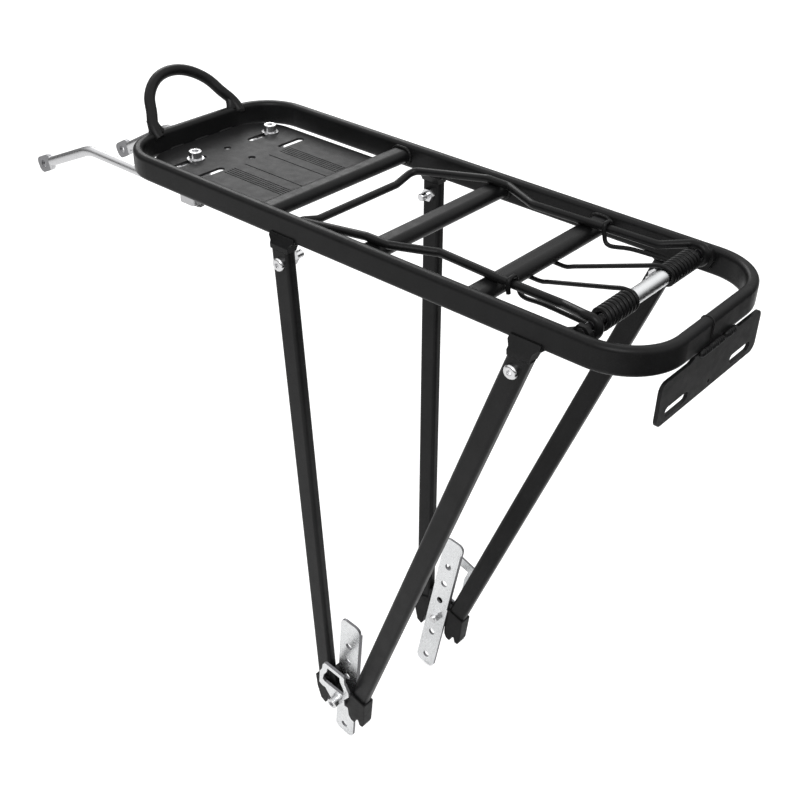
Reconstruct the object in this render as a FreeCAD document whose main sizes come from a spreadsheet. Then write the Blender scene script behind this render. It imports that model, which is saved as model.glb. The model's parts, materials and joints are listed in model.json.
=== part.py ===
import FreeCAD, Part
import math
import os

import Sketcher
from FreeCAD import Matrix, Placement, Rotation, Vector

# Rear luggage rack for a bicycle, in millimetres.
# +X points to the front of the bicycle, +Y to its left, +Z up.
# The origin is midway between the lowest holes of the two adjuster straps.

doc = FreeCAD.newDocument("rear_rack")

# ---------------------------------------------------------------- dimensions

DIMENSIONS = (
    ("platform_length", 400.0),
    ("platform_width", 140.0),
    ("platform_rear", -214.0),
    ("platform_top", 426.0),
    ("rail_depth", 16.4),
    ("rail_breadth", 7.0),
    ("rail_wall", 1.8),
    ("rail_rounding", 3.0),
    ("rear_corner", 36.5),
    ("front_corner", 33.5),
    ("bar_breadth", 14.0),
    ("bar_depth", 9.0),
    ("bar_level", 418.0),
    ("tube_wall", 1.2),
    ("front_bar_station", 51.5),
    ("middle_bar_station", -29.2),
    ("rear_bar_station", -103.3),
    ("hoop_gauge", 7.5),
    ("hoop_half_span", 36.0),
    ("hoop_rise", 37.0),
    ("hoop_lean", 44.0),
    ("plate_level", 411.0),
    ("plate_gauge", 1.6),
    ("plate_half_width", 56.0),
    ("plate_back_edge", 54.0),
    ("slot_width", 5.5),
    ("front_slot_length", 28.4),
    ("front_slot_offset", 33.75),
    ("rear_slot_length", 22.8),
    ("rear_slot_offset", 36.5),
    ("plate_slot_station", 153.0),
    ("plate_slot_pitch", 24.0),
    ("groove_width", 0.8),
    ("groove_depth", 0.5),
    ("groove_pitch", 2.2),
    ("light_plate_half_width", 53.0),
    ("light_plate_gauge", 2.0),
    ("light_plate_low", 381.3),
    ("light_plate_shoulder", 407.2),
    ("light_tab_half_width", 22.0),
    ("light_slot_spacing", 68.0),
    ("light_slot_level", 387.5),
    ("light_slot_length", 23.0),
    ("leg_breadth", 14.0),
    ("leg_gauge", 7.5),
    ("leg_rounding", 2.5),
    ("leg_end_level", 50.0),
    ("leg_bolt_level", 396.0),
    ("leg_top_level", 404.0),
    ("foot_level", 46.0),
    ("foot_offset", 57.3),
    ("shoulder_level", 396.0),
    ("front_foot_station", 9.4),
    ("front_shoulder_station", 28.6),
    ("front_shoulder_offset", 69.5),
    ("rear_foot_station", -20.6),
    ("rear_shoulder_station", -141.8),
    ("rear_shoulder_offset", 72.4),
    ("bolt_hole", 5.3),
    ("bolt_shank", 5.0),
    ("cap_head_width", 8.5),
    ("cap_head_height", 5.0),
    ("button_head_width", 8.6),
    ("button_head_height", 2.8),
    ("nut_width", 8.0),
    ("nut_height", 4.0),
    ("bracket_inner", 52.9),
    ("bracket_outer", 66.0),
    ("strap_front_reach", 8.5),
    ("strap_rear_reach", 9.2),
    ("strap_gauge", 2.0),
    ("strap_offset", 49.6),
    ("strap_lean_back", 6.9),
    ("strap_lean_out", 4.4),
    ("strap_first_gap", 26.4),
    ("strap_hole_pitch", 18.0),
    ("strap_length", 124.5),
    ("strap_hole", 5.5),
    ("hook_gauge", 2.0),
    ("hook_lean", 12.3),
    ("foot_stack", 9.2),
    ("clamp_station", 153.0),
    ("left_clamp_offset", 28.0),
    ("right_clamp_offset", -40.0),
    ("clamp_length", 15.0),
    ("clamp_width", 18.4),
    ("clamp_split_level", 391.0),
    ("clamp_lower_depth", 6.5),
    ("clamp_gap", 0.6),
    ("rod_offset", 6.8),
    ("rod_gauge", 7.0),
    ("rod_back_end", 131.0),
    ("rod_bend_station", 262.0),
    ("rod_bend_radius", 35.0),
    ("right_rod_shift", -6.0),
    ("left_rod_droop", 24.2),
    ("right_rod_droop", 29.0),
    ("eyelet_station", 322.0),
    ("eyelet_hole", 5.5),
    ("axle_station", -170.7),
    ("axle_level", 424.2),
    ("axle_gauge", 5.0),
    ("clip_gauge", 5.0),
    ("clip_level", 425.1),
    ("coil_gauge", 2.6),
    ("coil_outside", 13.0),
    ("coil_start", 16.5),
    ("coil_end", 47.0),
    ("sleeve_gauge", 9.0),
    ("sleeve_half_length", 15.5),
)

sizes = doc.addObject("Spreadsheet::Sheet", "sizes")
for row, (alias, value) in enumerate(DIMENSIONS, start=1):
    sizes.set(f"A{row}", alias)
    sizes.set(f"B{row}", str(value))
    sizes.setAlias(f"B{row}", alias)
doc.recompute()


def size(expression):
    """Value in millimetres of an expression in the sheet's aliases."""
    if isinstance(expression, (int, float)):
        return float(expression)
    return float(doc.getObject("sizes").evalExpression(expression))


# ------------------------------------------------------------ sketch helpers


def new_body(name):
    body = doc.addObject("PartDesign::Body", name)
    body.Label = name
    return body


def new_sketch(body, name, role, height=0.0):
    """Sketch on one of the body's origin planes, lifted by height along its normal."""
    sketch = body.newObject("Sketcher::SketchObject", name)
    plane = next(item for item in body.Origin.OriginFeatures if item.Role == role)
    sketch.AttachmentSupport = [(plane, "")]
    sketch.MapMode = "FlatFace"
    sketch.AttachmentOffset = Placement(Vector(0, 0, size(height)), Rotation())
    if isinstance(height, str):
        sketch.setExpression(".AttachmentOffset.Base.z", height)
    return sketch


def pin_point(sketch, geometry, point, across, up):
    """Hold one point of a sketch element at (across, up) from the sketch's origin."""
    for kind, place in (("DistanceX", across), ("DistanceY", up)):
        index = sketch.addConstraint(Sketcher.Constraint(kind, -1, 1, geometry, point, size(place)))
        if isinstance(place, str):
            sketch.setExpression(f"Constraints[{index}]", place)


def hold_radius(sketch, geometry, diameter):
    index = sketch.addConstraint(Sketcher.Constraint("Radius", geometry, size(diameter) / 2))
    if isinstance(diameter, str):
        sketch.setExpression(f"Constraints[{index}]", f"({diameter}) / 2")


def outline(sketch, corners):
    """Closed polygon whose corners are pairs of expressions."""
    ends = [Vector(size(across), size(up), 0) for across, up in corners]
    first = sketch.GeometryCount
    count = len(ends)
    for i in range(count):
        sketch.addGeometry(Part.LineSegment(ends[i], ends[(i + 1) % count]), False)
    for i in range(count):
        follower = first + (i + 1) % count
        sketch.addConstraint(Sketcher.Constraint("Coincident", first + i, 2, follower, 1))
    for i, (across, up) in enumerate(corners):
        pin_point(sketch, first + i, 1, across, up)


def rectangle(sketch, left, low, right, high):
    outline(sketch, ((left, low), (right, low), (right, high), (left, high)))


def circle(sketch, across, up, diameter):
    centre = Vector(size(across), size(up), 0)
    index = sketch.addGeometry(Part.Circle(centre, Vector(0, 0, 1), size(diameter) / 2), False)
    pin_point(sketch, index, 3, across, up)
    hold_radius(sketch, index, diameter)


def slot(sketch, across, up, length, width, upright=False):
    """Straight slot with round ends, length measured from tip to tip."""
    reach = (size(length) - size(width)) / 2
    radius = size(width) / 2
    along = Vector(0, 1, 0) if upright else Vector(1, 0, 0)
    side = Vector(-along.y, along.x, 0)
    middle = Vector(size(across), size(up), 0)
    far, near = middle + along * reach, middle - along * reach
    turn = math.pi / 2 if upright else 0.0
    up_axis = Vector(0, 0, 1)
    first = sketch.GeometryCount
    far_arc = Part.ArcOfCircle(Part.Circle(far, up_axis, radius), turn - math.pi / 2, turn + math.pi / 2)
    near_arc = Part.ArcOfCircle(
        Part.Circle(near, up_axis, radius), turn + math.pi / 2, turn + 3 * math.pi / 2
    )
    sketch.addGeometry(far_arc, False)
    sketch.addGeometry(Part.LineSegment(far + side * radius, near + side * radius), False)
    sketch.addGeometry(near_arc, False)
    sketch.addGeometry(Part.LineSegment(near - side * radius, far - side * radius), False)
    for one, one_end, other, other_end in ((0, 2, 1, 1), (1, 2, 2, 1), (2, 2, 3, 1), (3, 2, 0, 1)):
        sketch.addConstraint(
            Sketcher.Constraint("Tangent", first + one, one_end, first + other, other_end)
        )
    shift = f"(({length}) - ({width})) / 2"
    for arc, sign in ((first, "+"), (first + 2, "-")):
        across_place = across if upright else f"({across}) {sign} {shift}"
        up_place = f"({up}) {sign} {shift}" if upright else up
        pin_point(sketch, arc, 3, across_place, up_place)
    hold_radius(sketch, first, width)


def pad(body, name, sketch, length, symmetric=False, backwards=False):
    feature = body.newObject("PartDesign::Pad", name)
    feature.Profile = sketch
    feature.Length = size(length)
    if isinstance(length, str):
        feature.setExpression("Length", length)
    feature.SideType = "Symmetric" if symmetric else "One side"
    feature.Reversed = backwards
    doc.recompute()
    return feature


def pocket(body, name, sketch, length, symmetric=False, backwards=False):
    """Pocket that must remove material."""
    before = body.Shape.Volume
    feature = body.newObject("PartDesign::Pocket", name)
    feature.Profile = sketch
    feature.Length = size(length)
    if isinstance(length, str):
        feature.setExpression("Length", length)
    feature.SideType = "Symmetric" if symmetric else "One side"
    feature.Reversed = backwards
    doc.recompute()
    if body.Shape.Volume >= before - 1e-6:
        raise RuntimeError(f"{body.Label}.{name} removes nothing")
    return feature


def round_edges(body, name, radius, wanted):
    """Fillet the edges of the body for which wanted(edge) is true."""
    base = body.Tip
    names = [f"Edge{i}" for i, edge in enumerate(base.Shape.Edges, start=1) if wanted(edge)]
    feature = body.newObject("PartDesign::Fillet", name)
    feature.Base = (base, names)
    feature.Radius = size(radius)
    if isinstance(radius, str):
        feature.setExpression("Radius", radius)
    doc.recompute()
    return feature


def along(axis):
    """Test for straight edges parallel to an axis."""

    def test(edge):
        if not isinstance(edge.Curve, Part.Line):
            return False
        return edge.Curve.Direction.cross(axis).Length < 1e-6

    return test


X_AXIS, Y_AXIS, Z_AXIS = Vector(1, 0, 0), Vector(0, 1, 0), Vector(0, 0, 1)


# ------------------------------------------------------------- other helpers


def cut(name, base, tool):
    feature = doc.addObject("Part::Cut", name)
    feature.Label = name
    feature.Base = base
    feature.Tool = tool
    doc.recompute()
    return feature


def fuse(name, shapes):
    feature = doc.addObject("Part::MultiFuse", name)
    feature.Label = name
    feature.Shapes = shapes
    doc.recompute()
    return feature


def common(name, base, tool):
    feature = doc.addObject("Part::Common", name)
    feature.Label = name
    feature.Base = base
    feature.Tool = tool
    doc.recompute()
    return feature


def mirror_to_right(source, name):
    """The right-hand twin of a left-hand piece."""
    twin = doc.addObject("Part::Mirroring", name)
    twin.Label = name
    twin.Source = source
    twin.Base = Vector(0, 0, 0)
    twin.Normal = Y_AXIS
    doc.recompute()
    return twin


def solid_feature(name, shape, placement=None):
    feature = doc.addObject("Part::Feature", name)
    feature.Label = name
    feature.Shape = shape
    if placement is not None:
        feature.Placement = placement
    return feature


def group(name, shapes):
    """Identical loose pieces that share one node."""
    return solid_feature(name, Part.makeCompound(shapes))


def placed(shape, placement):
    copy = shape.copy()
    copy.Placement = placement.multiply(copy.Placement)
    return copy


def bent_path(points, bend):
    """Wire through points, with an arc of radius bend at every inner corner."""
    pieces = []
    start = points[0]
    for i in range(1, len(points) - 1):
        corner = points[i]
        back = (points[i - 1] - corner).normalize()
        ahead = (points[i + 1] - corner).normalize()
        half = back.getAngle(ahead) / 2
        trim = bend / math.tan(half)
        first, last = corner + back * trim, corner + ahead * trim
        inward = (back + ahead).normalize()
        centre = corner + inward * (bend / math.sin(half))
        pieces.append(Part.LineSegment(start, first).toShape())
        pieces.append(Part.Arc(first, centre - inward * bend, last).toShape())
        start = last
    pieces.append(Part.LineSegment(start, points[-1]).toShape())
    return Part.Wire(pieces)


def swept_round(path, diameter):
    """Round bar whose centre line is path."""
    edge = path.OrderedEdges[0] if isinstance(path, Part.Wire) else path
    begin = edge.valueAt(edge.FirstParameter)
    direction = edge.tangentAt(edge.FirstParameter)
    profile = Part.Wire(Part.makeCircle(diameter / 2, begin, direction))
    return Part.Wire(path.Edges).makePipeShell([profile], True, False)


def leg_placement(foot, shoulder):
    """Local frame of a leg: z up the leg, y across its thickness."""
    rise = (shoulder - foot).normalize()
    across = (Y_AXIS - rise * Y_AXIS.dot(rise)).normalize()
    forward = across.cross(rise)
    return Placement(
        Matrix(
            forward.x, across.x, rise.x, foot.x,
            forward.y, across.y, rise.y, foot.y,
            forward.z, across.z, rise.z, foot.z,
            0, 0, 0, 1,
        )
    )


# ------------------------------------------------------------- platform loop


def rounded_rectangle(sketch, inset):
    """Outline of the loop, inset from its outer face, with front and rear corner radii."""
    back = size(f"sizes.platform_rear + {inset}")
    front = size(f"sizes.platform_rear + sizes.platform_length - ({inset})")
    half = size(f"sizes.platform_width / 2 - ({inset})")
    rear_radius = size(f"sizes.rear_corner - ({inset})")
    front_radius = size(f"sizes.front_corner - ({inset})")
    corners = (
        (back + rear_radius, half - rear_radius, rear_radius, math.pi / 2),
        (back + rear_radius, rear_radius - half, rear_radius, math.pi),
        (front - front_radius, front_radius - half, front_radius, 3 * math.pi / 2),
        (front - front_radius, half - front_radius, front_radius, 0.0),
    )
    first = sketch.GeometryCount
    for across, up, radius, turn in corners:
        ring = Part.Circle(Vector(across, up, 0), Vector(0, 0, 1), radius)
        sketch.addGeometry(Part.ArcOfCircle(ring, turn, turn + math.pi / 2), False)
    arcs = [sketch.Geometry[first + i] for i in range(4)]
    for i in range(4):
        bridge = Part.LineSegment(arcs[i].EndPoint, arcs[(i + 1) % 4].StartPoint)
        sketch.addGeometry(bridge, False)
    for i in range(4):
        line = first + 4 + i
        sketch.addConstraint(Sketcher.Constraint("Tangent", first + i, 2, line, 1))
        sketch.addConstraint(Sketcher.Constraint("Tangent", line, 2, first + (i + 1) % 4, 1))
    rear_reach = "sizes.platform_rear + sizes.rear_corner"
    front_reach = "sizes.platform_rear + sizes.platform_length - sizes.front_corner"
    rear_side = "sizes.platform_width / 2 - sizes.rear_corner"
    front_side = "sizes.platform_width / 2 - sizes.front_corner"
    pin_point(sketch, first, 3, rear_reach, rear_side)
    pin_point(sketch, first + 1, 3, rear_reach, f"-({rear_side})")
    pin_point(sketch, first + 2, 3, front_reach, f"-({front_side})")
    pin_point(sketch, first + 3, 3, front_reach, front_side)
    hold_radius(sketch, first, f"2 * (sizes.rear_corner - ({inset}))")
    hold_radius(sketch, first + 2, f"2 * (sizes.front_corner - ({inset}))")


def make_loop_outside():
    """The loop's full tube section, used to shape everything welded to it."""
    body = new_body("loop_outside")
    ring = new_sketch(body, "loop_ring", "XY_Plane", "sizes.platform_top - sizes.rail_depth")
    rounded_rectangle(ring, "0")
    rounded_rectangle(ring, "sizes.rail_breadth")
    pad(body, "loop_pad", ring, "sizes.rail_depth")
    top, low = size("sizes.platform_top"), size("sizes.platform_top - sizes.rail_depth")

    def rim(edge):
        height = edge.BoundBox
        return height.ZLength < 1e-6 and (abs(height.ZMin - top) < 1e-6 or abs(height.ZMin - low) < 1e-6)

    round_edges(body, "loop_rounding", "sizes.rail_rounding", rim)
    return body


def make_platform_loop(outside):
    bore = new_body("loop_bore")
    ring = new_sketch(bore, "bore_ring", "XY_Plane", "sizes.platform_top - sizes.rail_depth / 2")
    rounded_rectangle(ring, "sizes.rail_wall - 0.4")
    rounded_rectangle(ring, "sizes.rail_breadth - sizes.rail_wall + 0.4")
    pad(bore, "bore_pad", ring, "sizes.rail_depth - 2 * sizes.rail_wall", symmetric=True)
    return cut("platform_loop", outside, bore)


def make_crossbar(name, station):
    """Flattened tube between the two rails."""
    body = new_body(name)
    section = new_sketch(body, f"{name}_section", "XZ_Plane")
    slot(section, station, "sizes.bar_level", "sizes.bar_breadth", "sizes.bar_depth")
    slot(
        section,
        station,
        "sizes.bar_level",
        "sizes.bar_breadth - 2 * sizes.tube_wall",
        "sizes.bar_depth - 2 * sizes.tube_wall",
    )
    length = "sizes.platform_width - 2 * sizes.rail_breadth"
    pad(body, f"{name}_pad", section, length, symmetric=True)
    return body


def make_front_hoop(outside):
    """Bent round tube that stands on the loop's front bar and leans forward."""
    span, rise = size("sizes.hoop_half_span"), size("sizes.hoop_rise")
    # Shape of one side, as fractions of the half span and of the rise.
    side = ((1.0, -0.14), (0.95, 0.18), (0.85, 0.36), (0.745, 0.585), (0.61, 0.75), (0.44, 0.88), (0.23, 0.97))
    left = [Vector(0, across * span, up * rise) for across, up in side]
    right = [Vector(0, -point.y, point.z) for point in reversed(left)]
    curve = Part.BSplineCurve()
    curve.interpolate(left + [Vector(0, 0, rise)] + right)
    hoop = swept_round(curve.toShape(), size("sizes.hoop_gauge"))
    station = size("sizes.platform_rear + sizes.platform_length - sizes.rail_breadth / 2")
    stand = Placement(
        Vector(station, 0, size("sizes.platform_top")), Rotation(Y_AXIS, size("sizes.hoop_lean"))
    )
    blank = solid_feature("hoop_blank", hoop, stand)
    return cut("front_hoop", blank, outside)


# --------------------------------------------------------------- flat plates


def make_front_plate():
    """Slotted plate between the front cross bar and the loop's front bar."""
    body = new_body("front_plate")
    level = "sizes.plate_level"
    blank = new_sketch(body, "plate_outline", "XY_Plane", level)
    front_edge = "sizes.platform_rear + sizes.platform_length - sizes.rail_breadth"
    half = "sizes.plate_half_width"
    rectangle(blank, "sizes.plate_back_edge", f"-{half}", front_edge, half)
    pad(body, "plate_pad", blank, "sizes.plate_gauge")
    front = size(front_edge)

    def front_corner(edge):
        return along(Z_AXIS)(edge) and abs(edge.BoundBox.XMin - front) < 1e-6

    round_edges(body, "plate_corners", "sizes.front_corner - sizes.rail_breadth + 0.5", front_corner)

    holes = new_sketch(body, "plate_holes", "XY_Plane", level)
    for row in range(2):
        station = f"sizes.plate_slot_station - {row} * sizes.plate_slot_pitch"
        mark = "rear" if row else "front"
        for side in ("", "-"):
            place = f"{side}sizes.{mark}_slot_offset"
            slot(holes, station, place, f"sizes.{mark}_slot_length", "sizes.slot_width", upright=True)
        circle(holes, station, 0, "sizes.bolt_hole - 0.3")
    pocket(body, "plate_slots", holes, "sizes.plate_gauge", backwards=True)

    face = f"{level} + sizes.plate_gauge"
    for side, mark in ((1, "left"), (-1, "right")):
        grooves = new_sketch(body, f"plate_grooves_{mark}", "XY_Plane", face)
        reach = "sizes.plate_slot_station - sizes.plate_slot_pitch - 5"
        starts = [f"{side} * (25 + {i} * sizes.groove_pitch)" for i in range(-2, 3)]
        starts.append(f"{side} * 11")
        for start in starts:
            low = f"{start} - sizes.groove_width / 2"
            high = f"{start} + sizes.groove_width / 2"
            rectangle(grooves, "sizes.plate_back_edge + 1", low, reach, high)
        pocket(body, f"groove_cuts_{mark}", grooves, "sizes.groove_depth")
    return body


def make_light_plate():
    """Upright plate under the rear bar, slotted for a lamp or reflector."""
    body = new_body("rear_light_plate")
    sketch = new_sketch(body, "light_outline", "YZ_Plane", "sizes.platform_rear + 0.4")
    half, tab = "sizes.light_plate_half_width", "sizes.light_tab_half_width"
    low, shoulder = "sizes.light_plate_low", "sizes.light_plate_shoulder"
    top = "sizes.platform_top - sizes.rail_depth"
    outline(
        sketch,
        (
            (f"-{half}", low), (half, low), (half, shoulder), (f"{tab} + 4", shoulder),
            (tab, f"{top} - 1"), (tab, top), (f"-{tab}", top), (f"-{tab}", f"{top} - 1"),
            (f"-{tab} - 4", shoulder), (f"-{half}", shoulder),
        ),
    )
    pad(body, "light_pad", sketch, "sizes.light_plate_gauge")
    edge_of_plate = size(half)

    def outer_corner(edge):
        return along(X_AXIS)(edge) and abs(abs(edge.BoundBox.YMin) - edge_of_plate) < 1e-6

    round_edges(body, "light_corners", 5.0, outer_corner)
    holes = new_sketch(body, "light_holes", "YZ_Plane", "sizes.platform_rear + 0.4")
    for side in ("", "-"):
        place = f"{side}sizes.light_slot_spacing / 2"
        slot(holes, place, "sizes.light_slot_level", "sizes.light_slot_length", "sizes.slot_width")
    circle(holes, 0, "sizes.light_slot_level - 2", 2.5)
    pocket(body, "light_slots", holes, "sizes.light_plate_gauge", backwards=True)
    return body


# ---------------------------------------------------------------------- legs


def leg_points(station):
    foot = Vector(size(f"sizes.{station}_foot_station"), size("sizes.foot_offset"), size("sizes.foot_level"))
    shoulder = Vector(
        size(f"sizes.{station}_shoulder_station"),
        size(f"sizes.{station}_shoulder_offset"),
        size("sizes.shoulder_level"),
    )
    return foot, shoulder


def reach_up_leg(station, level):
    """Distance along a leg from its foot point to a given height."""
    foot, shoulder = leg_points(station)
    return (level - foot.z) * (shoulder - foot).Length / (shoulder.z - foot.z)


def centred_rectangle(sketch, breadth, gauge):
    rectangle(sketch, f"-({breadth}) / 2", f"-({gauge}) / 2", f"({breadth}) / 2", f"({gauge}) / 2")


def make_leg(station):
    """Flat-sided tube, cut level at the top and cross-drilled below it."""
    name = f"{station}_leg_left"
    body = new_body(f"{name}_tube")
    start = reach_up_leg(station, size("sizes.leg_end_level"))
    stop = reach_up_leg(station, size("sizes.leg_top_level") + 8.0)
    section = new_sketch(body, f"{name}_section", "XY_Plane", start)
    centred_rectangle(section, "sizes.leg_breadth", "sizes.leg_gauge")
    pad(body, f"{name}_pad", section, stop - start)
    round_edges(body, f"{name}_rounding", "sizes.leg_rounding", along(Z_AXIS))
    bore = new_sketch(body, f"{name}_bore", "XY_Plane", start)
    centred_rectangle(bore, "sizes.leg_breadth - 2 * sizes.tube_wall", "sizes.leg_gauge - 2 * sizes.tube_wall")
    pocket(body, f"{name}_bore_cut", bore, stop - start, backwards=True)
    hole = new_sketch(body, f"{name}_hole", "XZ_Plane")
    circle(hole, 0, reach_up_leg(station, size("sizes.leg_bolt_level")), "sizes.bolt_hole")
    pocket(body, f"{name}_bolt_hole", hole, "2 * sizes.leg_gauge", symmetric=True)
    body.Placement = leg_placement(*leg_points(station))
    waste = Part.makeBox(400, 200, 40, Vector(-250, 0, size("sizes.leg_top_level")))
    return cut(name, body, solid_feature(f"{name}_waste", waste))


def make_leg_core(station):
    """Solid with the leg's outer section, for the socket that the leg sits in."""
    core = new_body(f"{station}_leg_core")
    start = reach_up_leg(station, size("sizes.leg_end_level"))
    section = new_sketch(core, f"{station}_core_section", "XY_Plane", start)
    centred_rectangle(section, "sizes.leg_breadth", "sizes.leg_gauge")
    pad(core, f"{station}_core_pad", section, 60)
    round_edges(core, f"{station}_core_rounding", "sizes.leg_rounding", along(Z_AXIS))
    core.Placement = leg_placement(*leg_points(station))
    return core


def make_leg_tab(station, outside):
    """Saddle under the rail with a tongue that the leg slides over."""
    name = f"{station}_leg_tab_left"
    foot, shoulder = leg_points(station)
    top = size("sizes.platform_top - sizes.rail_depth") + 3.6
    bottom = size("sizes.leg_top_level") + 0.2
    middle = foot + (shoulder - foot) * ((bottom - foot.z) / (shoulder.z - foot.z))
    outer = middle.y + size("sizes.leg_gauge") / 2
    inner = middle.y - size("sizes.leg_gauge") / 2
    rail_inner = size("sizes.platform_width / 2 - sizes.rail_breadth") + 0.6

    flank = new_body(f"{name}_flank")
    side_view = new_sketch(flank, f"{name}_side", "XZ_Plane")
    half_top, half_bottom = 9.6, size("sizes.leg_breadth") / 2
    outline(
        side_view,
        (
            (middle.x - half_bottom, bottom), (middle.x + half_bottom, bottom),
            (middle.x + half_bottom + 0.3, bottom + 4.5), (middle.x + half_top, top - 2),
            (middle.x + half_top, top), (middle.x - half_top, top),
            (middle.x - half_top, top - 2), (middle.x - half_bottom - 0.3, bottom + 4.5),
        ),
    )
    pad(flank, f"{name}_side_pad", side_view, 80, backwards=True)

    wedge = new_body(f"{name}_wedge")
    end_view = new_sketch(wedge, f"{name}_end", "YZ_Plane", middle.x - 20)
    rail_outer = size("sizes.platform_width / 2")
    outline(
        end_view,
        (
            (inner, bottom), (outer, bottom), (outer + 0.1, bottom + 3),
            (rail_outer + 1.0, top), (rail_inner, top), (rail_inner, top - 4),
        ),
    )
    pad(wedge, f"{name}_end_pad", end_view, 40)
    saddle = common(f"{name}_saddle", flank, wedge)

    tongue = new_body(f"{name}_tongue")
    tongue_low = reach_up_leg(station, size("sizes.leg_bolt_level") - 8)
    section = new_sketch(tongue, f"{name}_tongue_section", "XY_Plane", tongue_low)
    breadth = "sizes.leg_breadth - 2 * sizes.tube_wall - 0.8"
    slot(section, 0, 0, breadth, "sizes.leg_gauge - 2 * sizes.tube_wall - 0.5")
    tongue_high = reach_up_leg(station, bottom + 2.5)
    pad(tongue, f"{name}_tongue_pad", section, tongue_high - tongue_low)
    hole = new_sketch(tongue, f"{name}_tongue_hole", "XZ_Plane")
    circle(hole, 0, reach_up_leg(station, size("sizes.leg_bolt_level")), "sizes.bolt_hole")
    pocket(tongue, f"{name}_tongue_bore", hole, "2 * sizes.leg_gauge", symmetric=True)
    tongue.Placement = leg_placement(foot, shoulder)

    joined = fuse(f"{name}_joined", [saddle, tongue])
    return cut(name, joined, outside)


# ----------------------------------------------------------------- fasteners


def hexagon(across_flats, height):
    """Hexagonal prism standing on z = 0."""
    radius = across_flats / math.sqrt(3)
    turns = [math.radians(60 * i) for i in range(6)]
    corners = [Vector(radius * math.cos(turn), radius * math.sin(turn), 0) for turn in turns]
    return Part.Face(Part.makePolygon(corners + corners[:1])).extrude(Vector(0, 0, height))


def nut_shape():
    """Hexagon nut on z = 0 with its edges turned down."""
    across_flats, height = size("sizes.nut_width"), size("sizes.nut_height")
    corner = across_flats / math.sqrt(3)
    crown = Part.makeCone(corner + 2.2, corner - 0.25, height + 0.3)
    foot = crown.mirror(Vector(0, 0, height / 2), Z_AXIS)
    blank = hexagon(across_flats, height).common(crown).common(foot)
    return blank.cut(Part.makeCylinder(size("sizes.bolt_shank") / 2 + 0.01, height))


def socket_bolt_shape(shank_length, kind="cap"):
    """Socket screw: underside of the head on z = 0, shank along -z."""
    head_width, head_height = size(f"sizes.{kind}_head_width"), size(f"sizes.{kind}_head_height")
    shank = size("sizes.bolt_shank")
    edge_radius = 0.5 if kind == "cap" else 1.6
    socket_width = 4.0 if kind == "cap" else 3.0
    socket_depth = 0.55 * head_height
    head = Part.makeCylinder(head_width / 2, head_height)
    top = [edge for edge in head.Edges if edge.BoundBox.ZMin > head_height - 1e-6]
    head = head.makeFillet(edge_radius, top)
    socket = hexagon(socket_width, socket_depth)
    socket.translate(Vector(0, 0, head_height - socket_depth))
    stem = Part.makeCylinder(shank / 2, shank_length, Vector(0, 0, -shank_length))
    tip = [edge for edge in stem.Edges if edge.BoundBox.ZMax < 1e-6 - shank_length]
    stem = stem.makeChamfer(0.4, tip)
    return head.fuse(stem).removeSplitter().cut(socket)


def washer_shape(outside, thickness):
    """Flat washer on z = 0."""
    ring = Part.makeCylinder(outside / 2, thickness)
    return ring.cut(Part.makeCylinder(size("sizes.bolt_hole") / 2, thickness))


# Turns a piece whose axis is z so that z points to the left or to the right.
FACING_LEFT = Rotation(X_AXIS, -90)
FACING_RIGHT = Rotation(X_AXIS, 90)


def mirrored(shape):
    return shape.mirror(Vector(0, 0, 0), Y_AXIS)


def make_leg_fasteners():
    """Bolts that hold the legs to their tabs, heads outside, nuts inside."""
    bolts, nuts = [], []
    half_gauge = size("sizes.leg_gauge") / 2
    for station in ("front", "rear"):
        frame = leg_placement(*leg_points(station))
        level = reach_up_leg(station, size("sizes.leg_bolt_level"))
        head_seat = frame.multiply(Placement(Vector(0, half_gauge, level), FACING_LEFT))
        nut_seat = frame.multiply(Placement(Vector(0, -half_gauge, level), FACING_RIGHT))
        grip = 2 * half_gauge + size("sizes.nut_height")
        bolt = placed(socket_bolt_shape(grip + 6.5, "button"), head_seat)
        nut = placed(nut_shape(), nut_seat)
        bolts += [bolt, mirrored(bolt)]
        nuts += [nut, mirrored(nut)]
    return [group("leg_bolts", bolts), group("leg_nuts", nuts)]


# ---------------------------------------------------------------------- feet


def strap_placement():
    """Frame of the left strap: origin at its lowest hole, z up its length, y outwards."""
    lean_out = Rotation(X_AXIS, -size("sizes.strap_lean_out"))
    lean_back = Rotation(Y_AXIS, -size("sizes.strap_lean_back"))
    return Placement(Vector(0, size("sizes.strap_offset"), 0), lean_out.multiply(lean_back))


def foot_placement():
    """Frame of the left foot bolt: origin at the strap's third hole, y out along the bolt."""
    hole = Vector(0, 0, size("sizes.strap_first_gap + sizes.strap_hole_pitch"))
    centre = strap_placement().multVec(hole)
    return Placement(centre, Rotation(X_AXIS, -size("sizes.strap_lean_out")))


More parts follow.
